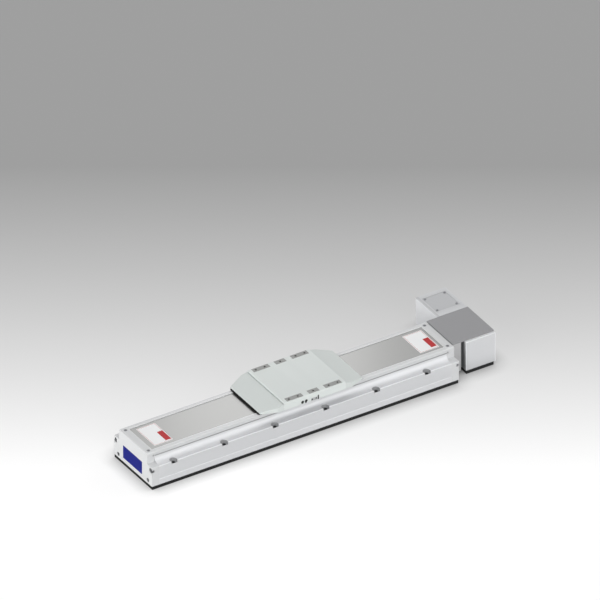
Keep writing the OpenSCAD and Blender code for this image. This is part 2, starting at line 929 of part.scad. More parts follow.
module drive_side_cover() {
    color([0.88, 0.88, 0.89])
    along_y(-housing_w / 2, -housing_near)
        side_profile(housing_x, unit_end, side_z, lid_top - side_drop, 1.2);
}

module drive_end_plate() {
    color([0.86, 0.86, 0.87])
    difference() {
        block([housing_end, -housing_near, side_z], [unit_end, housing_half, lid_z]);
        for (y = [-housing_near + 6, housing_half - 6])
            for (z = [side_z + 6, lid_z - 6])
                bar_x(unit_end - 1, unit_end + lap, y, z, m4_head_r);
    }
}

module drive_foot() {
    color([0.05, 0.05, 0.055])
    union() {
        block([housing_x + 1.5, -housing_w / 2 + 0.5, 0],
              [unit_end - 4.5, housing_half, side_z]);
        block([housing_x + 1.5, housing_half - lap, 0],
              [unit_end - 4.5, motor_cover_y - 1.5, side_z]);
    }
}

module motor_adapter() {
    color([0.58, 0.59, 0.61])
    difference() {
        block([drive_x - motor_w / 2, adapter_y, drive_z - motor_w / 2],
              [drive_x + motor_w / 2, motor_y, drive_z + motor_w / 2]);
        bar_y(adapter_y - lap, motor_y + lap, drive_x, drive_z, coupling_r + 5);
        for (x = [drive_x - motor_grip, drive_x + motor_grip])
            for (z = [drive_z - motor_grip, drive_z + motor_grip])
                bar_y(adapter_y - lap, motor_y + lap, x, z, m4_r);
    }
}

motor_back = motor_y + motor_flange_t + motor_l;

module motor_body() {
    color([0.16, 0.16, 0.17])
    difference() {
        union() {
            block([drive_x - motor_w / 2, motor_y, drive_z - motor_w / 2],
                  [drive_x + motor_w / 2, motor_y + motor_flange_t, drive_z + motor_w / 2]);
            along_y(motor_y + motor_flange_t, motor_back - encoder_l)
                motor_profile();
        }
        bar_y(motor_y - lap, motor_y + 30, drive_x, drive_z, motor_shaft_d / 2 + run_gap);
        for (x = [drive_x - motor_grip, drive_x + motor_grip])
            for (z = [drive_z - motor_grip, drive_z + motor_grip])
                bar_y(motor_y - lap, motor_back, x, z, m4_r);
    }
}

// Square motor body with its corners cut back for the screws
module motor_profile() {
    w = motor_w / 2 - 1;
    c = 14;
    polygon([
        [drive_x - w + c, drive_z - w], [drive_x + w - c, drive_z - w],
        [drive_x + w, drive_z - w + c], [drive_x + w, drive_z + w - c],
        [drive_x + w - c, drive_z + w], [drive_x - w + c, drive_z + w],
        [drive_x - w, drive_z + w - c], [drive_x - w, drive_z - w + c]
    ]);
}

module motor_encoder() {
    color([0.10, 0.10, 0.11])
    block([drive_x - motor_w / 2 + 4, motor_back - encoder_l, drive_z - motor_w / 2 + 4],
          [drive_x + motor_w / 2 - 4, motor_back, drive_z + motor_w / 2 - 4]);
}

module motor_screws() {
    color([0.35, 0.35, 0.36])
    for (x = [drive_x - motor_grip, drive_x + motor_grip])
        for (z = [drive_z - motor_grip, drive_z + motor_grip])
            translate([x, motor_y + motor_flange_t, z])
                rotate([-90, 0, 0])
                    cap_screw(m4_head_r, m4_head_h, m4_r, motor_flange_t + adapter_l + 8);
}

module motor_cover() {
    w = motor_cover_t;
    y0 = housing_half;
    color([0.86, 0.86, 0.87])
    difference() {
        along_y(y0, motor_cover_y)
            side_profile(housing_x - 1, unit_end, side_z, lid_top, 1);
        // Seat of the drive box's lid, which reaches over the edge
        block([housing_x - 1 - lap, y0 - lap, lid_z], [unit_end + lap, housing_w / 2, lid_top + lap]);
        // Inside, open below where the foot plate closes it
        block([housing_x - 1 + w, y0 - lap, side_z - lap],
              [unit_end - w, motor_cover_y - w, lid_top - w]);
        // Window and recess of the access lid
        block([drive_x - access_w / 2 + 3, access_y - access_w / 2 + 3, lid_top - w - lap],
              [drive_x + access_w / 2 - 3, access_y + access_w / 2 - 3, lid_top + lap]);
        block([drive_x - access_w / 2, access_y - access_w / 2, lid_top - 2],
              [drive_x + access_w / 2, access_y + access_w / 2, lid_top + lap]);
        // Hole for the cable grommet, in the far wall
        bar_y(motor_cover_y - w - lap, motor_cover_y + lap, drive_x, side_z + 16, grommet_r);
    }
}

grommet_r = 7;

module access_lid() {
    color([0.68, 0.68, 0.70])
    difference() {
        block([drive_x - access_w / 2 + 0.2, access_y - access_w / 2 + 0.2, lid_top - 2],
              [drive_x + access_w / 2 - 0.2, access_y + access_w / 2 - 0.2, lid_top - 0.6]);
        for (x = [-1, 1])
            for (y = [-1, 1])
                bar_z(lid_top - 3, lid_top, drive_x + x * lid_screw, access_y + y * lid_screw,
                      m3_r + 0.1);
    }
}

lid_screw = access_w / 2 - 4.5;

module access_lid_screws() {
    color([0.30, 0.30, 0.31])
    for (x = [-1, 1])
        for (y = [-1, 1])
            translate([drive_x + x * lid_screw, access_y + y * lid_screw, lid_top - 0.6])
                cap_screw(m3_head_r, 1.2, m3_r, 4);
}

module cable_grommet() {
    color([0.08, 0.08, 0.08])
    union() {
        bar_y(motor_cover_y - motor_cover_t, motor_cover_y, drive_x, side_z + 16, grommet_r);
        bar_y(motor_cover_y, motor_cover_y + 2, drive_x, side_z + 16, grommet_r + 2);
    }
}

// ---------- drive rotor ----------

shaft_tip = coupling_y + hub_l - 1;

module drive_shaft() {
    color([0.60, 0.61, 0.63])
    bar_y(-bearing_y - 3, shaft_tip, drive_x, drive_z, shaft_d / 2);
}

motor_shaft_tip = coupling_end - hub_l + 1;

module motor_shaft() {
    color([0.60, 0.61, 0.63])
    bar_y(motor_shaft_tip, motor_y + 28, drive_x, drive_z, motor_shaft_d / 2);
}

// Jaws of a coupling hub: three teeth on a ring, turned by phase
module jaws(y0, y1, phase) {
    for (i = [0 : 2])
        intersection() {
            difference() {
                bar_y(y0, y1, 0, 0, coupling_r);
                bar_y(y0 - lap, y1 + lap, 0, 0, motor_shaft_d / 2 + 0.5);
            }
            rotate([0, phase + i * 120, 0])
                along_y(y0, y1)
                    polygon([[0, 0], [2 * coupling_r, -8], [2 * coupling_r, 8]]);
        }
}

module coupling_hubs() {
    color([0.74, 0.75, 0.77])
    translate([drive_x, 0, drive_z]) {
        difference() {
            bar_y(coupling_y, coupling_y + hub_l, 0, 0, coupling_r);
            bar_y(coupling_y - lap, coupling_y + hub_l + lap, 0, 0, shaft_d / 2);
        }
        jaws(coupling_y + hub_l - 0.5, coupling_y + hub_l + spider_l - 0.5, 0);
        difference() {
            bar_y(coupling_end - hub_l, coupling_end, 0, 0, coupling_r);
            bar_y(coupling_end - hub_l - lap, coupling_end + lap, 0, 0, motor_shaft_d / 2);
        }
        jaws(coupling_y + hub_l + 0.5, coupling_end - hub_l + 0.5, 60);
    }
}

module coupling_spider() {
    color([0.75, 0.15, 0.12])
    translate([drive_x, 0, drive_z])
        difference() {
            bar_y(coupling_y + hub_l + 0.5, coupling_end - hub_l - 0.5, 0, 0, coupling_r - 0.3);
            for (i = [0 : 5])
                rotate([0, i * 60, 0])
                    along_y(coupling_y, coupling_end)
                        polygon([[4, -1.4], [2 * coupling_r, -8.4], [2 * coupling_r, 8.4], [4, 1.4]]);
        }
}

// ---------- slider ----------

module saddle() {
    color([0.62, 0.63, 0.65])
    on_slider()
        difference() {
            along_x(-saddle_l / 2, saddle_l / 2)
                saddle_profile();
            // Seats of the belt clamps, at both ends of the saddle
            for (s = [-1, 1])
                for (y = [-1, 1])
                    bar_z(block_top_z - lap, belt_top + 8, s * jaw_x, y * jaw_screw_y, m3_r);
            for (s = [-1, 1])
                both_sides()
                    bar_z(strip_bed_z - 6, table_seat_z + lap, s * table_screw_x, table_screw_y,
                          m5_r);
        }
}

jaw_x = saddle_l / 2 - jaw_l / 2;
jaw_screw_y = belt_slot_half + 2.5;
table_screw_x = table_l / 2 - 30;
table_screw_y = strip_w / 2 + 8;

// Section of the saddle: a foot on the guide blocks, a neck and a flange above the rails
module saddle_profile() {
    foot = block_w / 2 + rail_gauge / 2;
    neck_z = block_top_z + saddle_foot_t + 2;
    side = [
        [belt_slot_half, belt_top + 1], [belt_slot_half, belt_land_z - 1],
        [jaw_half + 0.5, belt_land_z - 1], [jaw_half + 0.5, block_top_z],
        [foot, block_top_z], [foot, neck_z - 2], [neck_half, neck_z + 3],
        [neck_half, flange_z], [flange_half, flange_z], [flange_half, table_seat_z],
        [strip_w / 2 + 1.5, table_seat_z], [strip_w / 2 + 1.5, strip_bed_z]
    ];
    other = [for (i = [len(side) - 1 : -1 : 0]) [-side[i][0], side[i][1]]];
    polygon(concat(side, other));
}

// Section of a guide block, open at the bottom where it grips its rail
module block_profile() {
    h = rail_w / 2 + pass_gap;
    top = rail_seat_z + rail_h + pass_gap;
    bottom = rail_seat_z + 4.3;
    grip = h - 2;
    side = [
        [h, bottom], [block_w / 2 - 1, bottom], [block_w / 2, bottom + 1],
        [block_w / 2, block_top_z - 3], [block_w / 2 - 2, block_top_z]
    ];
    bore = [
        [h, top], [h, rail_seat_z + rail_h * 0.8], [grip, rail_seat_z + rail_h * 0.66],
        [grip, rail_seat_z + rail_h * 0.52], [h, rail_seat_z + rail_h * 0.33]
    ];
    outline = concat(
        side,
        [for (i = [len(side) - 1 : -1 : 0]) [-side[i][0], side[i][1]]],
        [for (i = [len(bore) - 1 : -1 : 0]) [-bore[i][0], bore[i][1]]],
        bore
    );
    polygon(outline);
}

// The child at each of the four guide blocks
module each_block() {
    on_slider()
        for (s = [-1, 1])
            for (y = [-1, 1])
                translate([s * block_span / 2, y * rail_gauge / 2, 0])
                    children();
}

module guide_blocks() {
    color([0.70, 0.71, 0.73])
    each_block()
        along_x(-block_l / 2, block_l / 2)
            block_profile();
}

module block_end_caps() {
    color([0.10, 0.35, 0.20])
    each_block()
        for (s = [-1, 1])
            translate([s * (block_l / 2 + block_cap_t / 2), 0, 0])
                along_x(-block_cap_t / 2, block_cap_t / 2)
                    cap_of_block_profile();
}

// A block's end cap is a little smaller than the block
module cap_of_block_profile() {
    intersection() {
        block_profile();
        translate([-block_w / 2 + 1, rail_seat_z])
            square([block_w - 2, block_h - 2]);
    }
}

// Toothed clamp that holds one end of the belt against the saddle
module belt_clamp(s) {
    x0 = slider_x + s * jaw_x - jaw_l / 2;
    first = floor((drive_x - x0 - jaw_l) / belt_pitch) - 1;
    last = ceil((drive_x - x0) / belt_pitch) + 1;
    deep = belt_land_z - tooth_h - 0.2;
    difference() {
        union() {
            block([x0, -jaw_half, block_top_z + 0.2],
                  [x0 + jaw_l, jaw_half, belt_land_z - 1 - mesh_gap]);
            block([x0, -belt_w / 2 - 1, block_top_z + 0.2],
                  [x0 + jaw_l, belt_w / 2 + 1, belt_land_z - mesh_gap]);
        }
        for (y = [-1, 1])
            bar_z(block_top_z - lap, belt_top, x0 + jaw_l / 2, y * jaw_screw_y, m3_r);
        for (i = [first : last])
            translate([drive_x - (i + 0.5) * belt_pitch, 0, 0])
                along_y(-belt_w / 2 - 0.2, belt_w / 2 + 0.2)
                    polygon([
                        [-tooth_root - 0.15, belt_land_z], [-tooth_tip - 0.15, deep],
                        [tooth_tip + 0.15, deep], [tooth_root + 0.15, belt_land_z]
                    ]);
    }
}

module belt_clamps() {
    color([0.66, 0.67, 0.69])
    for (s = [-1, 1])
        union()
            belt_clamp(s);
}

module belt_clamp_screws() {
    color([0.25, 0.25, 0.26])
    on_slider()
        for (s = [-1, 1])
            for (y = [-1, 1])
                bar_z(block_top_z + 0.3, belt_top + 7.5, s * jaw_x, y * jaw_screw_y, m3_r);
}

// Table holes along one edge, from the table's middle
table_hole_xs = [
    -table_hole_outer / 2, -table_hole_inner / 2, 0, table_hole_inner / 2, table_hole_outer / 2
];
pad_y = table_w / 2 - pad_edge - pad_w / 2;

// The six pads of the table, grown by a gap on every side
module pads(grow, z0, z1) {
    for (x = [-pad_x, 0, pad_x])
        both_sides()
            let (l = x == 0 ? mid_pad_l : pad_l)
                block([x - l / 2 - grow, pad_y - pad_w / 2 - grow, z0],
                      [x + l / 2 + grow, pad_y + pad_w / 2 + grow, z1]);
}

module slider_table() {
    color([0.60, 0.60, 0.60])
    on_slider()
        difference() {
            union() {
                block([-table_body_l / 2, -table_body_w / 2 + cover_t, table_seat_z],
                      [table_body_l / 2, table_body_w / 2 - cover_t, skin_z - 0.1]);
                pads(0, table_seat_z + 2, table_top);
            }
            block([-table_body_l, -strip_w / 2 - 1.5, table_seat_z - lap],
                  [table_body_l, strip_w / 2 + 1.5, roof_z]);
            for (x = table_hole_xs)
                both_sides()
                    bar_z(table_top - table_hole_depth, table_top + lap, x, table_hole_row / 2,
                          table_hole_d / 2);
            for (s = [-1, 1])
                both_sides() {
                    bar_z(table_seat_z - lap, skin_z, s * table_screw_x, table_screw_y, m5_r + 0.3);
                    bar_z(skin_z - 5.6, skin_z + lap, s * table_screw_x, table_screw_y,
                          m5_head_r + 0.3);
                }
        }
}

module table_screws() {
    color([0.25, 0.25, 0.26])
    on_slider()
        for (s = [-1, 1])
            both_sides()
                translate([s * table_screw_x, table_screw_y, skin_z - 5.6])
                    cap_screw(m5_head_r, m5_head_h, m5_r, skin_z - 5.6 - strip_bed_z + 5.5);
}

// Moulded cover of the table: a shell with windows for the pads
module table_cover() {
    e = 1;
    half_l = table_l / 2;
    half_w = table_w / 2;
    color([0.81, 0.84, 0.83])
    on_slider()
        difference() {
            intersection() {
                along_y(-half_w, half_w)
                    polygon([
                        [-half_l, slider_z], [half_l, slider_z], [half_l, table_top - e],
                        [half_l - e, table_top], [-half_l + e, table_top],
                        [-half_l, table_top - e]
                    ]);
                along_x(-half_l, half_l)
                    polygon([
                        [-half_w, slider_z], [half_w, slider_z], [half_w, table_top - e],
                        [half_w - e, table_top], [-half_w + e, table_top],
                        [-half_w, table_top - e]
                    ]);
            }
            // Inside of the shell, above the rails
            block([-table_body_l / 2 - 0.4, -table_in_half, slider_z - lap],
                  [table_body_l / 2 + 0.4, table_in_half, skin_z]);
            // Way of the strip, the saddle and the roller brackets through both end walls
            block([-half_l - lap, -flange_half - 0.5, slider_z - lap],
                  [half_l + lap, flange_half + 0.5, strip_high + 2]);
            pads(0.25, table_seat_z + 1.5, table_top + lap);
            // Sunk seats of the grease ports
            for (x = grease_xs)
                bar_y(-half_w - lap, -half_w + 1.3, x, grease_z, grease_r + 0.3);
        }
}

// Plan of an end cover, seen from above, for the end towards -X
module end_cover_plan(grow) {
    polygon([
        [-tip_x + grow, -tip_w / 2 + grow], [-tip_x + tip_taper, -table_w / 2 + grow],
        [-root_x + 0.0, -table_w / 2 + grow], [-root_x, table_w / 2 - grow],
        [-tip_x + tip_taper, table_w / 2 - grow], [-tip_x + grow, tip_w / 2 - grow]
    ]);
}

// Side view of an end cover: a slope that starts in a small groove beside the table
module end_cover_side(grow) {
    low = slider_z - (grow > 0 ? lap : 0);
    root_top = slider_z + root_h - grow;
    root = grow > 0 ? [[-root_x, root_top]]
        : [[-root_x, root_top - end_groove], [-root_x - end_groove, root_top]];
    tip = [
        [-tip_x + 1.2 + grow, slider_z + tip_h - grow * 0.6],
        [-tip_x + grow, slider_z + tip_h - 1.2 - grow * 0.6]
    ];
    polygon(concat([[-tip_x + grow, low], [-root_x, low]], root, tip));
}

module end_cover_solid(grow) {
    intersection() {
        along_y(-table_w, table_w)
            end_cover_side(grow);
        translate([0, 0, slider_z - 2 * lap])
            linear_extrude(height = 2 * table_h)
                end_cover_plan(grow);
    }
}

module end_cover() {
    difference() {
        end_cover_solid(0);
        translate([0.01, 0, 0])
            end_cover_solid(cover_t);
    }
}

module front_end_cover() {
    color([0.81, 0.84, 0.83])
    at_front()
        end_cover();
}

module rear_end_cover() {
    color([0.81, 0.84, 0.83])
    at_rear()
        end_cover();
}

// Rubber scraper under the tip of an end cover, with a lip that reaches down to the strip
module wiper() {
    block([-tip_x + 0.6, -tip_w / 2 + 1, body_top + pass_gap], [-tip_x + 7, tip_w / 2 - 1, slider_z]);
    block([-tip_x + 3, -strip_w / 2 + 0.5, strip_top + 0.1],
          [-tip_x + 6, strip_w / 2 - 0.5, body_top + 0.5]);
}

module front_wiper() {
    color([0.04, 0.04, 0.04])
    at_front()
        union()
            wiper();
}

module rear_wiper() {
    color([0.04, 0.04, 0.04])
    at_rear()
        union()
            wiper();
}

// Two plugged grease ports, sunk in the side of the slider
grease_r = 3.2;
grease_z = slider_z + 5;
grease_xs = [-30.5, -21.5];

module grease_ports() {
    color([0.15, 0.15, 0.16])
    on_slider()
        for (x = grease_xs)
            difference() {
                bar_y(-table_w / 2 + 0.2, -table_w / 2 + 1.3, x, grease_z, grease_r);
                translate([x, -table_w / 2, grease_z])
                    rotate([90, 0, 0])
                        cylinder(r = 1.6, h = 1.8, center = true, $fn = 6);
            }
}

// ---------- strip rollers ----------

module roller(x, z) {
    translate([x, 0, z])
        difference() {
            bar_y(-hold_l / 2, hold_l / 2, 0, 0, roller_r);
            bar_y(-hold_l, hold_l, 0, 0, roller_axle_d / 2 + run_gap);
        }
}

module front_hold_roller() {
    color([0.20, 0.20, 0.21])
    at_front()
        roller(-hold_x, hold_z);
}

module rear_hold_roller() {
    color([0.20, 0.20, 0.21])
    at_rear()
        roller(-hold_x, hold_z);
}

module front_lift_roller() {
    color([0.20, 0.20, 0.21])
    at_front()
        roller(-lift_x, lift_z);
}

module rear_lift_roller() {
    color([0.20, 0.20, 0.21])
    at_rear()
        roller(-lift_x, lift_z);
}

// Axles of the four rollers, held in the roller brackets
module roller_axles() {
    color([0.55, 0.56, 0.58])
    on_slider()
        for (s = [-1, 1]) {
            bar_y(-arm_out, arm_out, s * hold_x, hold_z, roller_axle_d / 2);
            bar_y(-arm_out, arm_out, s * lift_x, lift_z, roller_axle_d / 2);
        }
}

// Arms on both ends of the saddle that carry the roller axles beside the strip
module roller_brackets() {
    color([0.62, 0.63, 0.65])
    on_slider()
        for (s = [0, 180])
            rotate([0, 0, s])
                both_sides()
                    difference() {
                        along_y(arm_in, arm_out)
                            polygon([
                                [-saddle_l / 2, body_top + 0.5], [-hold_x - 3, body_top + 0.5],
                                [-hold_x - 3, hold_z + 2.4], [-lift_x - 3, lift_z + 3],
                                [-saddle_l / 2, lift_z + 3]
                            ]);
                        bar_y(0, arm_out + lap, -hold_x, hold_z, roller_axle_d / 2);
                        bar_y(0, arm_out + lap, -lift_x, lift_z, roller_axle_d / 2);
                    }
}

// ---------- one line per node ----------

base_extrusion();
base_plate();
cover_rail_left();
cover_rail_right();
near_end_cap();
far_end_cap();
near_cap_screws();
far_cap_screws();
guide_rail_left();
guide_rail_right();
rail_screws();
idler_bracket();
idler_axle();
tension_screws();
strip_clamps();
steel_strip();
toothed_belt();
stop_blocks();
stop_bumpers();
drive_bracket();
drive_housing();
drive_bearings();
drive_lid();
drive_side_cover();
drive_end_plate();
drive_foot();
motor_adapter();
motor_body();
motor_encoder();
motor_screws();
motor_cover();
access_lid();
access_lid_screws();
cable_grommet();
saddle();
guide_blocks();
block_end_caps();
belt_clamps();
belt_clamp_screws();
slider_table();
table_screws();
table_cover();
front_end_cover();
rear_end_cover();
front_wiper();
rear_wiper();
grease_ports();
roller_axles();
roller_brackets();
drive_shaft();
drive_pulley();
coupling_hubs();
coupling_spider();
motor_shaft();
idler_pulley();
idler_bearings();
front_hold_roller();
rear_hold_roller();
front_lift_roller();
rear_lift_roller();
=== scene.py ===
import math

import bmesh
import bpy
from mathutils import Matrix, Vector


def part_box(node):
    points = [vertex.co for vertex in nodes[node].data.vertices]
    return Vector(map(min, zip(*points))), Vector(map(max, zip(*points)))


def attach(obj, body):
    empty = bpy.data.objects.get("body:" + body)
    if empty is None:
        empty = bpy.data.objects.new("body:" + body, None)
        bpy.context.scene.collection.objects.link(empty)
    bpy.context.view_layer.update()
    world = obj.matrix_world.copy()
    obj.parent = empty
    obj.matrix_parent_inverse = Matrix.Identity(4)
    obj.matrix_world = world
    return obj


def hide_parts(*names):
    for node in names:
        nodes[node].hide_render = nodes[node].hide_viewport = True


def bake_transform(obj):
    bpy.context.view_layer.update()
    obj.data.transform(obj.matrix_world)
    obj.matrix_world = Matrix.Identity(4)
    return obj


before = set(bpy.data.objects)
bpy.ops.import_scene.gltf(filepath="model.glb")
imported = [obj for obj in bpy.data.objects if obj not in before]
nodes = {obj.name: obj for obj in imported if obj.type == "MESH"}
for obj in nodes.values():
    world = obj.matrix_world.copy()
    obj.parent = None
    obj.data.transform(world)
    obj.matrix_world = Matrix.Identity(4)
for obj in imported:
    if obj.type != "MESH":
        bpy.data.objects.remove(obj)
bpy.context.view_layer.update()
scene = bpy.context.scene


# ---------------------------------------------------------------- node helpers

def linear(rgb):
    """sRGB 0-255 as it should render -> linear colour."""
    out = []
    for c in rgb:
        c = c / 255.0
        out.append(c / 12.92 if c <= 0.04045 else ((c + 0.055) / 1.055) ** 2.4)
    return out


def feed(t, value, socket):
    """Link an output to the socket, or set the socket to a number, colour or vector."""
    if hasattr(value, "links"):
        t.links.new(value, socket)
    else:
        socket.default_value = value


def add(t, kind, values=None):
    """A new shader node with some of its inputs set or linked."""
    n = t.nodes.new("ShaderNode" + kind)
    for key, value in (values or {}).items():
        feed(t, value, n.inputs[key])
    return n


def maths(t, kind, a, b=None):
    """One maths step on a value and a number or another value."""
    n = t.nodes.new("ShaderNodeMath")
    n.operation = kind
    feed(t, a, n.inputs[0])
    if b is not None:
        feed(t, b, n.inputs[1])
    return n.outputs[0]


def mix(t, factor, a, b, blend="MIX"):
    """Colour a turned into colour b by the factor."""
    n = t.nodes.new("ShaderNodeMix")
    n.data_type = "RGBA"
    n.blend_type = blend
    for i, value in ((0, factor), (6, a), (7, b)):
        feed(t, value, n.inputs[i])
    return n.outputs[2]


def remap(t, value, low, high, to_low=0.0, to_high=1.0, smooth=False):
    """The value's range low to high, clamped and carried to the range to_low to to_high."""
    n = add(t, "MapRange", {"Value": value, "From Min": low, "From Max": high,
                            "To Min": to_low, "To Max": to_high})
    if smooth:
        n.interpolation_type = "SMOOTHSTEP"
    return n.outputs["Result"]


def split_xyz(t, vector):
    """The X, Y and Z of a vector."""
    n = add(t, "SeparateXYZ", {"Vector": vector})
    return n.outputs["X"], n.outputs["Y"], n.outputs["Z"]


def distance(t, du, dv):
    """How far apart two points are whose coordinates differ by du and dv."""
    return maths(t, "SQRT", maths(t, "ADD", maths(t, "MULTIPLY", du, du),
                                  maths(t, "MULTIPLY", dv, dv)))


def opaque(rgb, gain=1.0, lift=0.0):
    """A linear colour with a gain and a lift, no brighter than white, with alpha 1."""
    return [min(1.0, c * gain + lift) for c in rgb] + [1]


# ---------------------------------------------------------------- materials

LINE_CORE = 0.45        # share of a line's reach with its full colour
LINE_STRENGTH = 0.8     # how much of the base colour a line covers
FACE_TURN = 0.9         # least |X| of the normal of a face that looks along X


def paint_light_lines(t, place, colour, highlight_and_shade_lines, base):
    """Paint highlights and shade along straight lines: bright lines stand in for light caught by
    edges, dark lines for shade in seams and chamfers.

    A line is its direction, the two coordinates across it, its reach and its gain on the
    base colour. Lines along X are drawn on both sides of the middle plane.
    """
    x, y, z = split_xyz(t, place)
    for axis, u, v, reach, gain in highlight_and_shade_lines:
        across = maths(t, "ABSOLUTE", y) if axis == "X" else x
        far = distance(t, maths(t, "SUBTRACT", across, u),
                       maths(t, "SUBTRACT", y if axis == "Z" else z, v))
        fade = remap(t, far, reach * LINE_CORE, reach, LINE_STRENGTH, 0.0, smooth=True)
        colour = mix(t, fade, colour, opaque(base, gain))
    return colour


def in_wells(t, place, first, pitch, half, skirt, radius, top):
    """1 inside the round pockets below the height top, else 0.

    The pockets stand in a row on each side, at |y| = half. Past half + skirt is the body's
    outer face, which isn't part of them.
    """
    x, y, z = split_xyz(t, place)
    step = maths(t, "FLOORED_MODULO", maths(t, "ADD", x, pitch / 2 - first), pitch)
    far = distance(t, maths(t, "SUBTRACT", step, pitch / 2),
                   maths(t, "SUBTRACT", maths(t, "ABSOLUTE", y), half))
    inside = maths(t, "MULTIPLY", maths(t, "LESS_THAN", far, radius),
                   maths(t, "LESS_THAN", maths(t, "ABSOLUTE", y), half + skirt))
    return maths(t, "MULTIPLY", inside, maths(t, "LESS_THAN", z, top))


def surface(name, rgb, rough, metal=0.0, stretch=(1, 1, 1), grain=900.0, tone=0.03,
            rough_tone=0.05, bump=0.00002, edge_wear_and_highlight=0.0, cloud=6.0, coat=0.0, edge=0.0003,
            specular=0.5, painted_crevice_shade=0.0, reach=0.004, highlight_and_shade_lines=(), x_face_paint_and_painted_light=None, painted_well_shade=()):
    """A Principled surface with fine grain, broad tone changes, roughness and bump of its own,
    and optional painted highlights and shade.
    """
    m = bpy.data.materials.new(name)
    m.use_nodes = True
    t = m.node_tree
    t.nodes.clear()
    b = add(t, "BsdfPrincipled", {"Metallic": metal, "Coat Weight": coat, "Coat Roughness": 0.2,
                                  "Specular IOR Level": specular})
    add(t, "OutputMaterial", {"Surface": b.outputs["BSDF"]})

    place = add(t, "TexCoord").outputs["Object"]
    fit = add(t, "Mapping", {"Scale": stretch, "Vector": place})
    fine = add(t, "TexNoise", {"Scale": grain, "Detail": 4.0, "Roughness": 0.6,
                               "Vector": fit.outputs["Vector"]})
    broad = add(t, "TexNoise", {"Scale": cloud, "Detail": 2.0, "Vector": place})
    both = t.nodes.new("ShaderNodeMix")
    both.data_type = "FLOAT"
    for i, value in ((0, 0.45), (2, fine.outputs["Fac"]), (3, broad.outputs["Fac"])):
        feed(t, value, both.inputs[i])

    base = linear(rgb)
    ramp = add(t, "ValToRGB", {"Fac": both.outputs[0]})
    for i, position, gain in ((0, 0.3, 1 - tone), (1, 0.7, 1 + tone)):
        ramp.color_ramp.elements[i].position = position
        ramp.color_ramp.elements[i].color = opaque(base, gain)
    colour = ramp.outputs["Color"]

    if x_face_paint_and_painted_light:
        # Colour for the faces that look along X: partly their own paint, partly painted light and
        # shade for how the light falls on them
        normal = add(t, "NewGeometry").outputs["True Normal"]
        turned = maths(t, "GREATER_THAN", maths(t, "ABSOLUTE", split_xyz(t, normal)[0]),
                       FACE_TURN)
        colour = mix(t, turned, colour, opaque(linear(x_face_paint_and_painted_light)))
    if edge_wear_and_highlight > 0:
        # Rubbed edges and a painted edge highlight: where the surface turns sharply, the colour
        # lifts a little
        sharp = add(t, "NewGeometry").outputs["Pointiness"]
        colour = mix(t, remap(t, sharp, 0.52, 0.62, 0.0, edge_wear_and_highlight), colour,
                     opaque(base, 1.5, 0.03))
    if painted_crevice_shade > 0:
        # Painted shade in pockets, seams and inner corners: the colour darkens where the surface
        # is occluded
        near = add(t, "AmbientOcclusion", {"Distance": reach})
        near.samples = 8
        colour = mix(t, remap(t, near.outputs["AO"], 0.25, 0.85, painted_crevice_shade, 0.0), colour,
                     opaque(base, 0.25))
    for *well, gain in painted_well_shade:
        # Painted shade inside the milled pockets, over their darker milled finish, and painted
        # dark in the holes
        colour = mix(t, in_wells(t, place, *well), colour, opaque(base, gain))
    # Painted highlights and shade along straight lines
    if highlight_and_shade_lines:
        colour = paint_light_lines(t, place, colour, highlight_and_shade_lines, base)
    gloss = remap(t, both.outputs[0], 0.3, 0.7, max(0.05, rough - rough_tone),
                  min(1.0, rough + rough_tone))

    hills = add(t, "Bump", {"Strength": 0.6, "Distance": bump, "Height": fine.outputs["Fac"]})
    if edge > 0:
        soft = add(t, "Bevel", {"Radius": edge})
        soft.samples = 4
        t.links.new(soft.outputs["Normal"], hills.inputs["Normal"])
    for key, value in (("Base Color", colour), ("Roughness", gloss),
                       ("Normal", hills.outputs["Normal"])):
        t.links.new(value, b.inputs[key])
    return m


# Places of the edges, pockets and seams where the materials paint highlights and shade
BODY_LO, BODY_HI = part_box("base_extrusion")
LEDGE_Z = BODY_LO.z + 0.047
GROOVE_Z = BODY_LO.z + 0.014
SHOULDER_HALF = 0.0555
RAIL_INNER = 0.0454
POCKET_ROW = (-0.3235, 0.125, 0.0705, 0.0042)   # first x, pitch, |y|, skirt
POCKET_RADIUS, HOLE_RADIUS = 0.0088, 0.0045
# A dark line along the seam between body and cover rail: painted shade of the joint
SEAM_SHADE = ("X", SHOULDER_HALF, BODY_HI.z, 0.0014, 0.45)
SIDE_LO, SIDE_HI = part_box("drive_side_cover")
BOX_LO, BOX_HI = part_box("motor_cover")

# The body's anodised aluminium carries painted highlights along the ledge and groove edges, and
# painted shade at the seam, in the milled pockets and their holes, and in crevices
ANODISED = surface("anodised_aluminium", (200, 201, 203), 0.38, metal=0.25, stretch=(0.02, 1, 1),
                   grain=1600, tone=0.02, bump=0.000012, edge_wear_and_highlight=0.25, edge=0.0004, painted_crevice_shade=0.5,
                   highlight_and_shade_lines=(("X", BODY_HI.y, LEDGE_Z, 0.0019, 1.5),
                          ("X", BODY_HI.y, GROOVE_Z, 0.0016, 1.3), SEAM_SHADE),
                   painted_well_shade=((*POCKET_ROW, POCKET_RADIUS, LEDGE_Z - 0.0005, 0.62),
                          (*POCKET_ROW, HOLE_RADIUS, LEDGE_Z - 0.0045, 0.06)))
# The end caps: white paint on the faces that look along X, brightened further there as painted
# light, and painted shade in pockets and seams
CAP = surface("cap_with_white_face_and_painted_light", (198, 199, 200), 0.42, metal=0.15, grain=1500,
              tone=0.02, bump=0.00001, edge_wear_and_highlight=0.2, edge=0.0005, painted_crevice_shade=0.6, reach=0.003,
              x_face_paint_and_painted_light=(232, 233, 233))
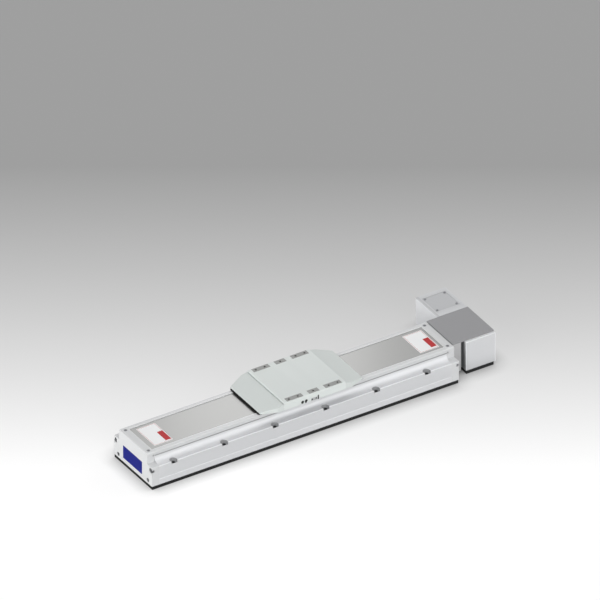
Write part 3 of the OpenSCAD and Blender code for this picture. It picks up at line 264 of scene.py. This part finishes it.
# The cover rails take a darker copy of the body's anodised aluminium as painted shade on their
# upward faces, with painted highlights along their outer and inner top edges and the painted seam
# shade
RAIL = surface("anodised_cover_rail_painted_shade", (189, 190, 191), 0.38, metal=0.25, stretch=(0.02, 1, 1),
               grain=1600, tone=0.02, bump=0.000012, edge_wear_and_highlight=0.25, edge=0.0004,
               highlight_and_shade_lines=(("X", SHOULDER_HALF, BODY_HI.z + 0.0055, 0.005, 1.25),
                      ("X", RAIL_INNER, BODY_HI.z + 0.0095, 0.0019, 1.5), SEAM_SHADE))
# The plate under the body and the drive foot: black anodised, and its black also stands in for
# the contact shadow along the foot
BLACK_PLATE_AND_SHADOW = surface("black_anodised_and_painted_shadow", (12, 12, 13), 0.7, specular=0.2, stretch=(0.05, 1, 1),
                      grain=1200, tone=0.2, bump=0.00001, edge_wear_and_highlight=0.4)
GROUND_STEEL = surface("ground_steel", (190, 192, 195), 0.25, metal=0.85, stretch=(0.01, 1, 1),
                       grain=2500, tone=0.04, bump=0.000006, edge_wear_and_highlight=0.3)
SCREW = surface("zinc_screw", (118, 119, 122), 0.35, metal=0.8, grain=2500, tone=0.08,
                bump=0.000008, edge_wear_and_highlight=0.4, edge=0.0002)
PORT = surface("grease_port", (22, 22, 23), 0.5, metal=0.3, grain=2500, tone=0.2,
               bump=0.000008, edge_wear_and_highlight=0.4, edge=0.0002)
BLACK_SCREW = surface("black_oxide_screw", (52, 53, 56), 0.4, metal=0.6, grain=2500, tone=0.15,
                      bump=0.000008, edge_wear_and_highlight=0.5, edge=0.0002)
STRIP = surface("brushed_steel_strip", (158, 158, 157), 0.3, metal=0.95, stretch=(0.004, 1, 1),
                grain=1400, tone=0.018, rough_tone=0.03, bump=0.000002, cloud=3.0, edge=0.0)
MILLED = surface("milled_aluminium", (186, 188, 191), 0.36, metal=0.7, stretch=(0.2, 1, 1),
                 grain=1800, tone=0.05, bump=0.00001, edge_wear_and_highlight=0.3)
BRACKET = surface("grey_milled_bracket", (174, 174, 175), 0.42, metal=0.35, grain=1500,
                  tone=0.04, bump=0.00001, edge_wear_and_highlight=0.25)
BELT = surface("belt_rubber", (38, 38, 39), 0.75, stretch=(1, 0.1, 1), grain=1500, tone=0.2,
               bump=0.00005)
BUMPER = surface("amber_urethane", (206, 140, 52), 0.45, grain=900, tone=0.08, bump=0.00002,
                 coat=0.2)
# Painted shade in the narrow grooves between the cover pieces. The end covers take a darker copy
# of the cover's plastic as painted shade on their sloping faces
COVER = surface("moulded_cover", (206, 211, 209), 0.48, grain=2600, tone=0.012, rough_tone=0.04,
                bump=0.000012, edge_wear_and_highlight=0.12, edge=0.0008, painted_crevice_shade=0.15, reach=0.003)
COVER_END = surface("moulded_end_cover_painted_shade", (197, 202, 200), 0.48, grain=2600, tone=0.012,
                    rough_tone=0.04, bump=0.000012, edge_wear_and_highlight=0.12, edge=0.0008, painted_crevice_shade=0.15,
                    reach=0.003)
PAD = surface("ground_pad", (131, 132, 130), 0.4, metal=0.3, stretch=(1, 0.05, 1), grain=2200,
              tone=0.05, bump=0.00001, edge_wear_and_highlight=0.2)
SEAL = surface("seal_rubber", (14, 14, 15), 0.8, grain=1600, tone=0.25, bump=0.00001, edge_wear_and_highlight=0.2,
               edge=0.0002, specular=0.15)
WIPER = surface("wiper_rubber", (34, 34, 35), 0.7, grain=1800, tone=0.2, bump=0.00003)
BEARING = surface("polished_bearing_steel", (205, 207, 210), 0.16, metal=0.95, grain=3000,
                  tone=0.03, bump=0.000003, edge_wear_and_highlight=0.2)
MOTOR = surface("motor_powder_coat", (44, 45, 47), 0.55, grain=2200, tone=0.15, bump=0.00003,
                edge_wear_and_highlight=0.3)
LID = surface("textured_grey_lid", (134, 134, 136), 0.45, metal=0.2, grain=2400, tone=0.03,
              bump=0.00002, edge_wear_and_highlight=0.2, cloud=4.0, edge=0.0006)
PANEL = surface("silver_white_panel", (197, 198, 200), 0.4, metal=0.15, grain=1800, tone=0.015,
                bump=0.00001, edge_wear_and_highlight=0.2, coat=0.1, edge=0.0006)
# Painted shade by occlusion with a long reach, so the side cover darkens towards the bottom and
# beside the housing; painted highlights along its top and upright edges; and a darker colour
# painted on its X-facing ends as shade
SIDE_PANEL = surface("silver_white_side_panel", (197, 198, 200), 0.4, metal=0.15, grain=1800,
                     tone=0.015, bump=0.00001, edge_wear_and_highlight=0.2, coat=0.1, edge=0.0006,
                     painted_crevice_shade=0.5, reach=0.05,
                     highlight_and_shade_lines=(("X", -SIDE_LO.y, SIDE_HI.z, 0.002, 1.5),
                            ("Z", SIDE_LO.x, SIDE_LO.y, 0.002, 1.5),
                            ("Z", SIDE_HI.x, SIDE_LO.y, 0.002, 1.5)), x_face_paint_and_painted_light=(176, 176, 177))
# Painted shade in a band along the top's −X edge, and a lighter colour painted on the faces that
# look along X as light they don't get
MOTOR_BOX = surface("silver_white_motor_box", (191, 192, 194), 0.4, metal=0.15, grain=1800,
                    tone=0.015, bump=0.00001, edge_wear_and_highlight=0.2, coat=0.1, edge=0.0006, painted_crevice_shade=0.1,
                    highlight_and_shade_lines=(("Y", BOX_LO.x + 0.0028, BOX_HI.z, 0.0036, 0.84),),
                    x_face_paint_and_painted_light=(228, 229, 231))
GREY_SCREW = surface("grey_screw", (136, 137, 140), 0.4, metal=0.5, grain=2500, tone=0.08,
                     bump=0.000008, edge_wear_and_highlight=0.3, edge=0.0002)
ACCESS = surface("grey_access_lid", (171, 172, 174), 0.42, metal=0.3, stretch=(0.1, 1, 1),
                 grain=1800, tone=0.03, bump=0.00001, edge_wear_and_highlight=0.2, edge=0.0004)
HOUSING = surface("dark_cast_housing", (104, 105, 107), 0.55, metal=0.2, grain=1500, tone=0.06,
                  bump=0.00003, edge_wear_and_highlight=0.3)
SPIDER = surface("red_urethane", (176, 44, 36), 0.5, grain=1200, tone=0.08, bump=0.00001)
GREEN = surface("green_end_cap", (38, 96, 66), 0.5, grain=1800, tone=0.08, bump=0.00001)
GROMMET = surface("grommet_rubber", (36, 36, 37), 0.7, grain=1600, tone=0.2, bump=0.00003)

LOOK = {
    "base_extrusion": ANODISED, "base_plate": BLACK_PLATE_AND_SHADOW,
    "cover_rail_left": RAIL, "cover_rail_right": RAIL,
    "near_end_cap": CAP, "far_end_cap": CAP,
    "near_cap_screws": SCREW, "far_cap_screws": SCREW,
    "guide_rail_left": GROUND_STEEL, "guide_rail_right": GROUND_STEEL,
    "rail_screws": BLACK_SCREW, "idler_bracket": MILLED, "idler_axle": GROUND_STEEL,
    "tension_screws": BLACK_SCREW, "strip_clamps": MILLED, "steel_strip": STRIP,
    "toothed_belt": BELT, "stop_blocks": MILLED, "stop_bumpers": BUMPER,
    "drive_bracket": BRACKET, "drive_housing": HOUSING, "drive_bearings": BEARING,
    "drive_lid": LID, "drive_side_cover": SIDE_PANEL, "drive_end_plate": PANEL,
    "drive_foot": BLACK_PLATE_AND_SHADOW, "motor_adapter": MILLED, "motor_body": MOTOR,
    "motor_encoder": MOTOR, "motor_screws": BLACK_SCREW, "motor_cover": MOTOR_BOX,
    "access_lid": ACCESS, "access_lid_screws": GREY_SCREW, "cable_grommet": GROMMET,
    "saddle": MILLED, "guide_blocks": GROUND_STEEL, "block_end_caps": GREEN,
    "belt_clamps": MILLED, "belt_clamp_screws": BLACK_SCREW, "slider_table": PAD,
    "table_screws": BLACK_SCREW, "table_cover": COVER, "front_end_cover": COVER_END,
    "rear_end_cover": COVER_END, "front_wiper": SEAL, "rear_wiper": SEAL,
    "grease_ports": PORT, "roller_axles": GROUND_STEEL, "roller_brackets": MILLED,
    "drive_shaft": GROUND_STEEL, "drive_pulley": MILLED, "coupling_hubs": MILLED,
    "coupling_spider": SPIDER, "motor_shaft": GROUND_STEEL, "idler_pulley": MILLED,
    "idler_bearings": BEARING, "front_hold_roller": WIPER, "rear_hold_roller": WIPER,
    "front_lift_roller": WIPER, "rear_lift_roller": WIPER,
}
for name, ob in nodes.items():
    ob.data.materials.clear()
    ob.data.materials.append(LOOK[name])


# ---------------------------------------------------------------- making pieces

def piece(name, mesh_data, material, body):
    """A mesh piece with its material and slot, riding on a body unless body is None."""
    verts, faces = mesh_data
    me = bpy.data.meshes.new(name)
    me.from_pydata(verts, [], faces)
    me.validate()
    bm = bmesh.new()
    bm.from_mesh(me)
    bmesh.ops.recalc_face_normals(bm, faces=bm.faces)
    bm.to_mesh(me)
    bm.free()
    ob = bpy.data.objects.new(name, me)
    scene.collection.objects.link(ob)
    me.materials.append(material)
    if body:
        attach(ob, body)
    return ob


def loft(rings):
    """Verts and faces of a closed solid through rings with the same number of points."""
    k = len(rings[0])
    verts = [point for ring in rings for point in ring]
    faces = []
    for i in range(len(rings) - 1):
        a, b = i * k, (i + 1) * k
        for j in range(k):
            n = (j + 1) % k
            faces.append((a + j, a + n, b + n, b + j))
    faces.append(tuple(reversed(range(k))))
    faces.append(tuple((len(rings) - 1) * k + j for j in range(k)))
    return verts, faces


# ---------------------------------------------------------------- the steel strip

def middle(name):
    """Middle of a node's box."""
    lo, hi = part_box(name)
    return (lo + hi) / 2


STRIP_HALF_W = 0.045
STRIP_T = 0.0005
STRIP_CUTS = 96         # cross sections along each half of the strip
ROLLER_LEAD = 0.002     # the strip bends this far from a roller's middle
strip_lo, strip_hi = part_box("steel_strip")
STRIP_TOP = strip_lo.z + STRIP_T
LIFT = strip_hi.z - STRIP_TOP
MID = middle("table_cover").x
HOLD_X = MID - middle("front_hold_roller").x - ROLLER_LEAD
LIFT_X = MID - middle("front_lift_roller").x + ROLLER_LEAD


def strip_height(x):
    """Upper face of the strip at x, at rest."""
    d = abs(x - MID)
    if d >= HOLD_X:
        return STRIP_TOP
    if d <= LIFT_X:
        return STRIP_TOP + LIFT
    return STRIP_TOP + LIFT * (HOLD_X - d) / (HOLD_X - LIFT_X)


def strip_half(name, x0, x1):
    """The strip from x0 to x1, with a cross section at each of its bends."""
    rows = {x0 + (x1 - x0) * i / STRIP_CUTS for i in range(STRIP_CUTS + 1)}
    bends = (MID - HOLD_X, MID - LIFT_X, MID + LIFT_X, MID + HOLD_X)
    rows.update(x for x in bends if x0 < x < x1)
    rings = []
    for x in sorted(rows):
        z = strip_height(x)
        rings.append([(x, -STRIP_HALF_W, z), (x, STRIP_HALF_W, z),
                      (x, STRIP_HALF_W, z - STRIP_T), (x, -STRIP_HALF_W, z - STRIP_T)])
    half = piece(name, loft(rings), STRIP, None)
    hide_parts("steel_strip")
    return half


front = strip_half("steel_strip_front", strip_lo.x, MID)
rear = strip_half("steel_strip_rear", MID, strip_hi.x)
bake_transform(front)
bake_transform(rear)


# ---------------------------------------------------------------- seal lips

LIP_HALF_W = 0.0565
LIP_OUT = 0.0022        # how far a lip stands out in front of the cover's tip
LIP_ROUND = 0.0006
LIP_GAP = 0.0003        # between a lip and what it slides on


def seal_lip(name, cover, wiper, sign):
    """Rubber lip at the tip of an end cover, over the cover rails and the strip.

    sign is -1 at the front and 1 at the rear. The lip ends just short of the wiper.
    """
    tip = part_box(cover)[0 if sign < 0 else 1].x
    wiper_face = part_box(wiper)[0 if sign < 0 else 1].x
    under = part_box(cover)[0].z + LIP_ROUND
    on_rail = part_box("cover_rail_left")[1].z + LIP_GAP
    on_strip = STRIP_TOP + LIP_GAP
    side = [(LIP_HALF_W, on_rail + LIP_ROUND), (LIP_HALF_W - 2 * LIP_ROUND, on_rail),
            (0.0475, on_rail), (RAIL_INNER - LIP_GAP, on_rail),
            (RAIL_INNER - 3 * LIP_GAP, on_strip), (0.0430, on_strip)]
    front_x = tip + sign * LIP_OUT
    round_x = front_x - sign * LIP_ROUND
    back_x = wiper_face + sign * 0.0001
    rings = []
    for y, low in [(-y, z) for y, z in side] + [(y, z) for y, z in reversed(side)]:
        rings.append([(round_x, y, under), (front_x, y, under - LIP_ROUND),
                      (front_x, y, low + LIP_ROUND), (round_x, y, low),
                      (back_x, y, low), (back_x, y, under)])
    piece(name, loft(rings), SEAL, "carriage")


seal_lip("front_seal_lip", "front_end_cover", "front_wiper", -1)
seal_lip("rear_seal_lip", "rear_end_cover", "rear_wiper", 1)


# ---------------------------------------------------------------- stickers and plates

LABEL_WHITE = surface("sticker_white", (236, 237, 238), 0.35, grain=3000, tone=0.01,
                      bump=0.000004, edge=0.0)
LABEL_RED = surface("sticker_red", (178, 40, 44), 0.45, grain=3000, tone=0.03, bump=0.000004,
                    edge=0.0, specular=0.25)
PLATE_BLUE = surface("nameplate_blue", (14, 25, 128), 0.45, grain=3000, tone=0.03,
                     bump=0.000004, edge=0.0, specular=0.2)
MARK_GREY = surface("window_grey", (170, 172, 172), 0.4, grain=2500, tone=0.03, bump=0.000005,
                    edge=0.0)
DARK = surface("dark_gap", (24, 24, 25), 0.7, grain=1500, tone=0.15, bump=0.00001, edge=0.0)

X, Y, Z = (1, 0, 0), (0, 1, 0), (0, 0, 1)
MINUS_Y = (0, -1, 0)
CORNER_STEPS = 5


def rounded(w, h, r):
    """Outline of a rounded rectangle round the origin."""
    out = []
    for cx, cy, start in ((w / 2 - r, h / 2 - r, 0), (-w / 2 + r, h / 2 - r, 90),
                          (-w / 2 + r, -h / 2 + r, 180), (w / 2 - r, -h / 2 + r, 270)):
        for i in range(CORNER_STEPS + 1):
            a = math.radians(start + 90 * i / CORNER_STEPS)
            out.append((cx + r * math.cos(a), cy + r * math.sin(a)))
    return out


def plate(name, centre, across, along, w, h, t, r, material, body):
    """A thin rounded plate: w along the first direction, h along the second, t thick."""
    e1, e2 = Vector(across), Vector(along)
    out = e1.cross(e2)
    c = Vector(centre)
    outer = rounded(w, h, r)
    inner = rounded(w - t, h - t, max(r - t / 2, 0.00005))
    rings = [[tuple(c + e1 * x + e2 * y + out * rise) for x, y in shape]
             for shape, rise in ((outer, 0.0), (outer, t * 0.6), (inner, t))]
    return piece(name, loft(rings), material, body)


# Generic stickers on the strip: white, with a red block and a thin red frame
STICKER_W, STICKER_T = 0.073, 0.00012
LINE_W, LINE_T = 0.0006, 0.00004
FRAME_X, FRAME_Y = 0.0213, 0.0347
FRAME_LINES = ((-FRAME_X, 0, LINE_W, 0.070), (FRAME_X, 0, LINE_W, 0.070),
               (0, -FRAME_Y, 0.0432, LINE_W), (0, FRAME_Y, 0.0432, LINE_W))
print_z = STRIP_TOP + STICKER_T
for end, x0, x1, y in (("near", -0.3475, -0.3015, 0.0015), ("far", 0.308, 0.3545, 0)):
    x = (x0 + x1) / 2
    plate("sticker_" + end, (x, y, STRIP_TOP), X, Y, x1 - x0, STICKER_W, STICKER_T, 0.0015,
          LABEL_WHITE, "axis_body")
    plate("sticker_block_" + end, (x0 + 0.0375, -0.012, print_z), X, Y, 0.013, 0.036,
          0.00006, 0.0004, LABEL_RED, "axis_body")
    for i, (dx, dy, w, h) in enumerate(FRAME_LINES):
        plate("sticker_line_%s_%d" % (end, i), (x + dx, y + dy, print_z), X, Y, w, h, LINE_T,
              0.0002, LABEL_RED, "axis_body")

plate("nameplate", (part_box("near_end_cap")[0].x, 0.002, BODY_LO.z + 0.0255), MINUS_Y, Z,
      0.074, 0.031, 0.0004, 0.001, PLATE_BLUE, "axis_body")

# On the slider's side: a small window with two pins, a dark plate beside it as painted shade of a
# slot, and dark plates behind the grease ports as their painted shadow
side_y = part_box("table_cover")[0].y
mark_z = BODY_HI.z + 0.0158
window_x = MID - 0.0020
plate("side_window", (window_x, side_y, mark_z), X, Z, 0.0155, 0.0070, 0.0003, 0.0006,
      MARK_GREY, "carriage")
for i, dx in enumerate((-0.0048, 0.0048)):
    plate("side_window_pin_%d" % i, (window_x + dx, side_y - 0.0003, mark_z + 0.0004), X, Z,
          0.0034, 0.0034, 0.0002, 0.00169, DARK, "carriage")
plate("side_slot_painted_shade", (MID + 0.0082, side_y, mark_z + 0.0010), X, Z, 0.0032, 0.0105, 0.0002,
      0.0008, DARK, "carriage")
port_lo, port_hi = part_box("grease_ports")
port_shadow_z = (port_lo.z + port_hi.z) / 2 - 0.0006
for side, x, w, h in (("left", port_lo.x + 0.0028, 0.0050, 0.0062),
                      ("right", port_hi.x - 0.0042, 0.0034, 0.0084)):
    plate("port_painted_shadow_" + side, (x, side_y, port_shadow_z), X, Z, w, h, 0.0003, 0.0012, DARK,
          "carriage")


# ---------------------------------------------------------------- light

SKY_LEVEL = 0.45        # on matt surfaces
SEEN_LEVEL = 1.0        # in reflections and behind the floor
CARD_SIZE = (0.46, 0.5)
CARD_WATTS = 0.72
CARD_AT, CARD_AIM = Vector((0.47, 0.843, 0.746)), Vector((-0.06, 0, 0.078))
SUN_ANGLE = math.radians(55)


def lamp(name, kind, energy, source):
    """A lamp whose light comes from the direction source."""
    data = bpy.data.lights.new(name, kind)
    data.energy = energy
    ob = bpy.data.objects.new(name, data)
    scene.collection.objects.link(ob)
    ob.rotation_euler = source.to_track_quat("Z", "Y").to_euler()
    return ob


for name, direction, energy in (("key_left", (-0.95, -0.1, 0.21), 1.98),
                                ("key_front", (-0.1, -0.95, 0.22), 1.95),
                                ("key_right", (0.9, 0.0, 0.43), 1.15)):
    lamp(name, "SUN", energy, Vector(direction)).data.angle = SUN_ANGLE

# A card of light behind the far side, which only the shiny strip and metal show
card = lamp("card", "AREA", CARD_WATTS, CARD_AT - CARD_AIM)
card.data.shape = "RECTANGLE"
card.data.size, card.data.size_y = CARD_SIZE
card.location = CARD_AT
card.visible_diffuse = False
card.visible_camera = False

world = bpy.data.worlds.new("studio")
scene.world = world
world.use_nodes = True
wt = world.node_tree
ray = add(wt, "LightPath")
seen = maths(wt, "MAXIMUM", ray.outputs["Is Glossy Ray"], ray.outputs["Is Camera Ray"])
sky = wt.nodes["Background"]
sky.inputs["Color"].default_value = (1, 1, 1, 1)
feed(wt, remap(wt, seen, 0.0, 1.0, SKY_LEVEL, SEEN_LEVEL), sky.inputs["Strength"])


# ---------------------------------------------------------------- floor

FLOOR_SIZE = 12
FLOOR_Z = -0.0002
FLOOR_BOUNCE = (0.6, 0.6, 0.6, 1)       # what other rays than the camera's see
SLOPE = (0.1418, 0.2257, 0)             # the grey deepens along this direction
WHITE_AT, GREY_AT = -0.052, 0.254       # along the slope
WHITE, GREY = 255, 158                  # as they render
RAMP_STEPS = 6
GLOW = 0.78                             # share that doesn't take shadow
SHADED = 0.26                           # share that does
CONTACT_REACH, CONTACT_POWER = 0.04, 0.75

bpy.ops.mesh.primitive_grid_add(x_subdivisions=2, y_subdivisions=2, size=FLOOR_SIZE,
                                location=(0, 0, FLOOR_Z))
floor = bpy.context.object
floor.name = "floor"
pale = bpy.data.materials.new("pale_floor")
pale.use_nodes = True
ft = pale.node_tree
ft.nodes.clear()
# The floor is white in front of the object and pale grey behind it
along = ft.nodes.new("ShaderNodeVectorMath")
along.operation = "DOT_PRODUCT"
feed(ft, add(ft, "NewGeometry").outputs["Position"], along.inputs[0])
feed(ft, SLOPE, along.inputs[1])
grade = add(ft, "ValToRGB", {"Fac": remap(ft, along.outputs["Value"], WHITE_AT, GREY_AT)})
stops = grade.color_ramp.elements
for i in range(1, RAMP_STEPS):
    stops.new(i / RAMP_STEPS)
for i, stop in enumerate(stops):
    level = WHITE + (GREY - WHITE) * i / RAMP_STEPS
    stop.color = opaque(linear((level,) * 3))
# Soft contact shade round the foot
near = add(ft, "AmbientOcclusion", {"Distance": CONTACT_REACH})
near.samples = 16
contact = maths(ft, "POWER", near.outputs["AO"], CONTACT_POWER)
tone = mix(ft, 1.0, grade.outputs["Color"], contact, "MULTIPLY")
shaded = add(ft, "BsdfDiffuse", {"Color": mix(ft, 1 - SHADED, tone, (0, 0, 0, 1))})
glow = add(ft, "Emission", {"Strength": GLOW, "Color": tone})
to_camera = add(ft, "AddShader", {0: shaded.outputs["BSDF"], 1: glow.outputs["Emission"]})
to_others = add(ft, "BsdfDiffuse", {"Color": FLOOR_BOUNCE})
pick = add(ft, "MixShader", {"Fac": add(ft, "LightPath").outputs["Is Camera Ray"],
                             1: to_others.outputs["BSDF"], 2: to_camera.outputs["Shader"]})
add(ft, "OutputMaterial", {"Surface": pick.outputs["Shader"]})
floor.data.materials.append(pale)


# ---------------------------------------------------------------- camera

AZIMUTH, ELEVATION = math.radians(-32.15), math.radians(33.84)
VIEW_WIDTH = 1.2537
VIEW_CENTRE = Vector((0.0334, 0, BODY_LO.z + 0.2814))
CAMERA_DISTANCE = 4

cam = bpy.data.cameras.new("camera")
cam.type = "ORTHO"
cam.ortho_scale = VIEW_WIDTH
cam.clip_start = 0.01
cam.clip_end = 30
eye = bpy.data.objects.new("camera", cam)
scene.collection.objects.link(eye)
back = Vector((math.sin(AZIMUTH) * math.cos(ELEVATION), -math.cos(AZIMUTH) * math.cos(ELEVATION),
               math.sin(ELEVATION)))
right = Vector((math.cos(AZIMUTH), math.sin(AZIMUTH), 0))
turn = Matrix((right, back.cross(right), back)).transposed().to_4x4()
eye.matrix_world = Matrix.Translation(VIEW_CENTRE + back * CAMERA_DISTANCE) @ turn
scene.camera = eye

scene.view_settings.view_transform = "Standard"
